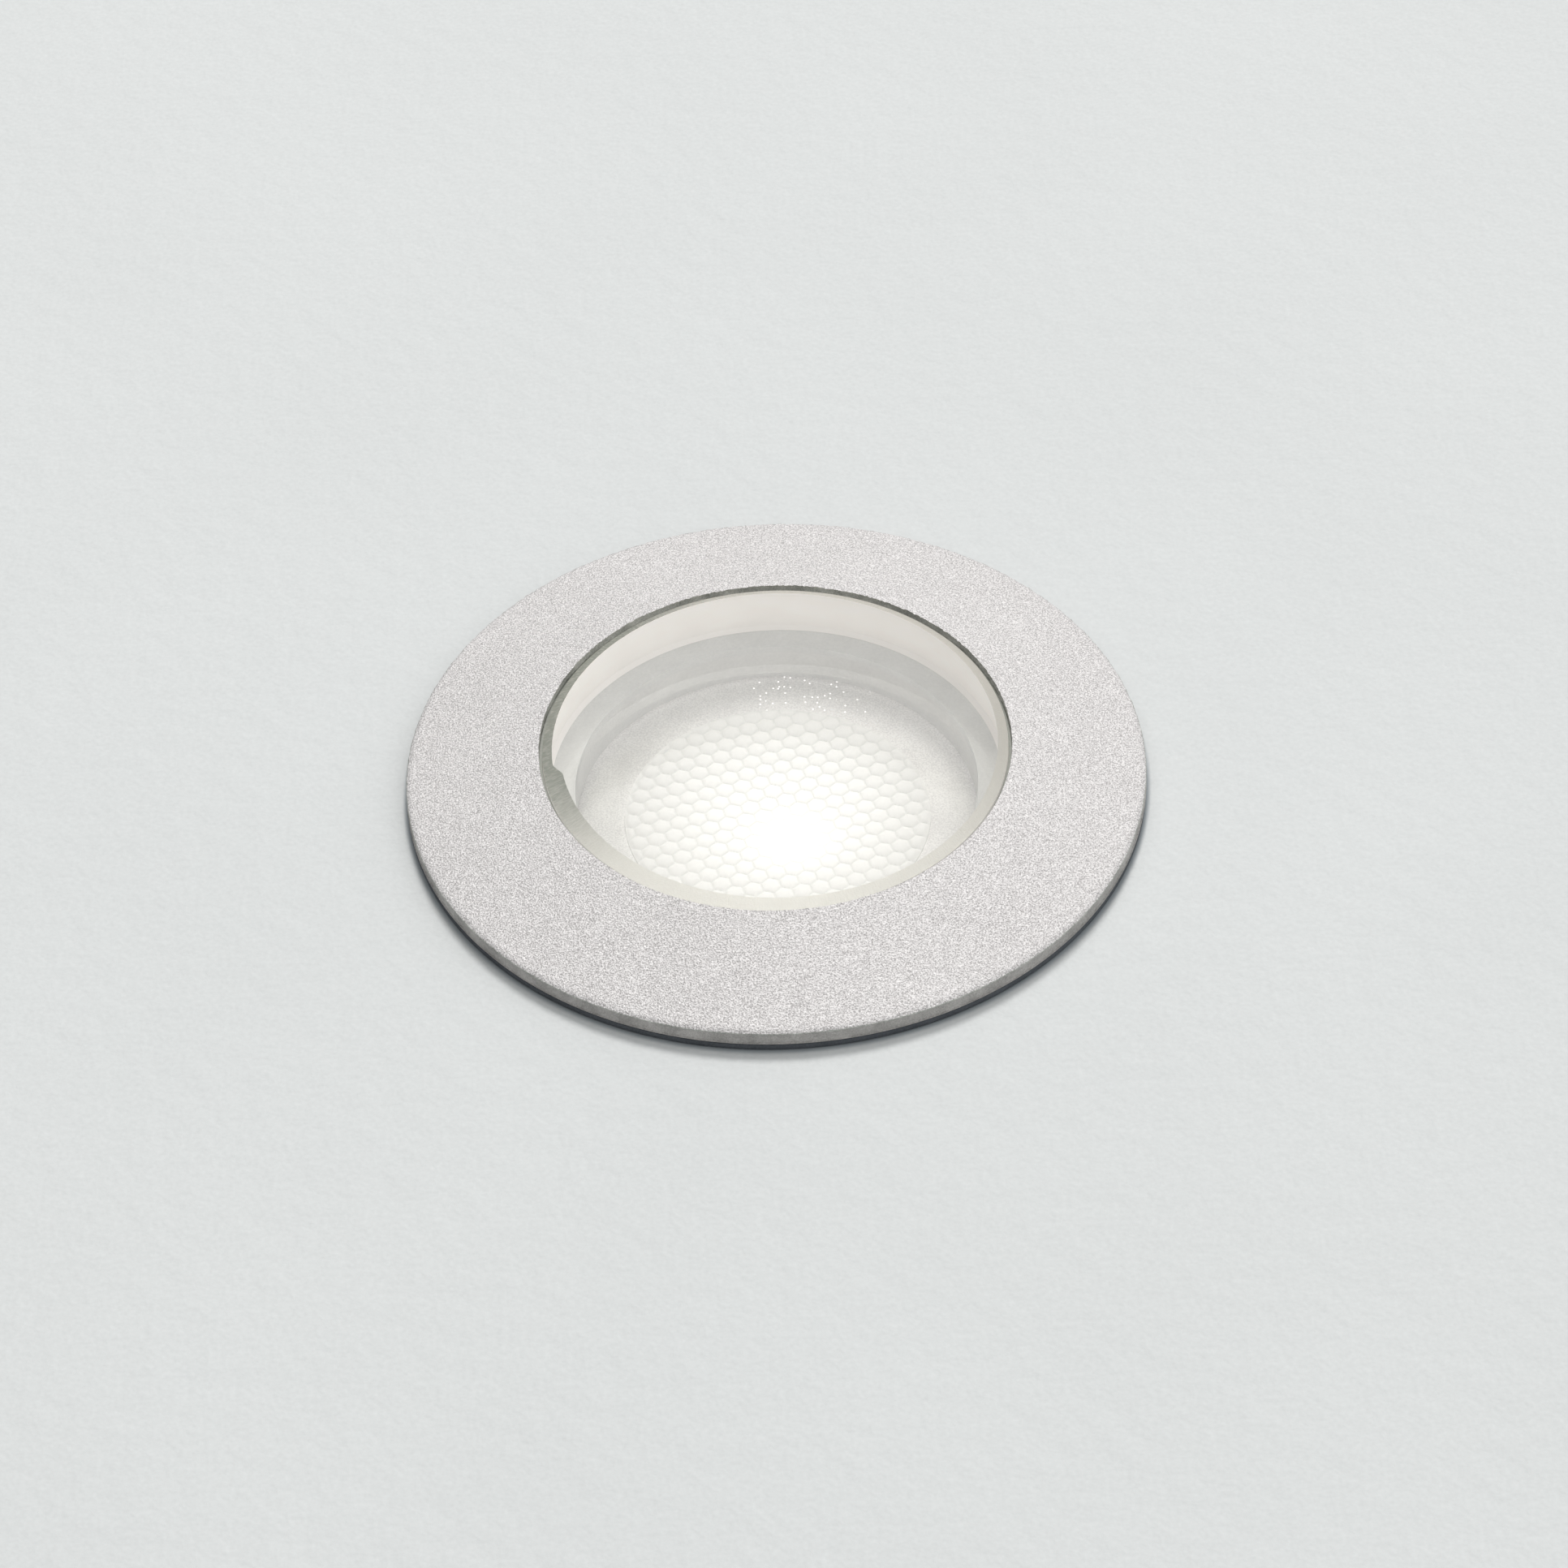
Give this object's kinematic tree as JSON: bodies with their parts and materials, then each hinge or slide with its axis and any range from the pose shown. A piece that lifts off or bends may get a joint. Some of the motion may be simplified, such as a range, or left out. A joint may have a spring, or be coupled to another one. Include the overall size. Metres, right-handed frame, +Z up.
{
  "type": "in-ground light",
  "caption": "Round recessed ground light: conical front ring, thick glass window, honeycomb lens and driver in a tubular housing, held in a ground sleeve.",
  "frame": {"origin": "on the light's axis at the level of the finished ground, where the sleeve's wall ends", "axes": "+Z up out of the ground along the light's axis, +X towards one of the sleeve's side windows"},
  "size_m": [0.055, 0.055, 0.097],
  "materials": {
    "window_glass": "clear toughened glass with a ground edge",
    "cream_sealant": "smooth cream silicone",
    "grey_silicone": "matte silicone",
    "textured_silver_paint": "finely textured silver-grey coat",
    "dark_rubber": "matte rubber",
    "black_rubber": "smooth rubber",
    "anodised_aluminium": "satin anodised, turned",
    "clear_acrylic": "clear moulded acrylic",
    "white_plastic": "satin moulded plastic",
    "white_ceramic": "matte ceramic",
    "clear_silicone": "clear moulded dome over phosphor",
    "white_board": "white solder mask",
    "stainless_steel": "plain stainless",
    "plated_brass": "nickel-plated, worn to brass",
    "green_board": "green solder mask",
    "ferrite": "sintered, matte",
    "capacitor_sleeve": "shrunk plastic sleeve",
    "chip_epoxy": "moulded epoxy",
    "terminal_plastic": "moulded plastic",
    "gland_plastic": "moulded polyamide",
    "slip_washer": "smooth slip washer",
    "sleeve_plastic": "moulded polypropylene"
  },
  "bodies": {
    "sleeve": {"ground_sleeve": "sleeve_plastic"},
    "unit": {"housing": "anodised_aluminium", "front_seal": "black_rubber", "grip_rings": "black_rubber", "lens": "clear_acrylic", "lens_holder": "white_plastic", "led_package": "white_ceramic", "led_dome": "clear_silicone", "led_board": "white_board", "thermal_pad": "grey_silicone", "board_screws": "stainless_steel", "driver_spacers": "plated_brass", "driver_board": "green_board", "driver_screws": "stainless_steel", "driver_coil": "ferrite", "driver_capacitor": "capacitor_sleeve", "driver_chips": "chip_epoxy", "terminal_block": "terminal_plastic", "rear_cap": "anodised_aluminium", "rear_cap_seal": "black_rubber", "rear_cap_screws": "stainless_steel", "gland_gasket": "black_rubber", "gland_body": "gland_plastic", "gland_insert": "black_rubber"},
    "ring_seal": {"ring_gasket": "dark_rubber"},
    "front": {"front_ring": "textured_silver_paint", "glass": "window_glass", "glass_sealant": "cream_sealant", "seat_gasket": "grey_silicone"},
    "nut_washer": {"gland_washer": "slip_washer"},
    "nut": {"gland_nut": "gland_plastic"}
  },
  "joints": [
    {"name": "unit_lift", "type": "slide", "parent": "sleeve", "child": "unit", "axis": [0, 0, 1], "range_m": [0, 0.04]},
    {"name": "ring_rise", "type": "slide", "parent": "unit", "child": "ring_seal", "axis": [0, 0, 1], "range_m": [0, 0.00375]},
    {"name": "ring_turn", "type": "hinge", "parent": "ring_seal", "child": "front", "pos_m": [0, 0, 0], "axis": [0, 0, 1], "range_deg": [0, 900]},
    {"name": "nut_drop", "type": "slide", "parent": "unit", "child": "nut_washer", "axis": [0, 0, -1], "range_m": [0, 0.003]},
    {"name": "nut_turn", "type": "hinge", "parent": "nut_washer", "child": "nut", "pos_m": [0, 0, -0.0711], "axis": [0, 0, -1], "range_deg": [0, 720]}
  ],
  "couplings": [
    {"joint": "ring_rise", "follows": "ring_turn", "m_per_rad": 0.00023873},
    {"joint": "nut_turn", "follows": "nut_drop", "rad_per_m": 4188.8}
  ]
}
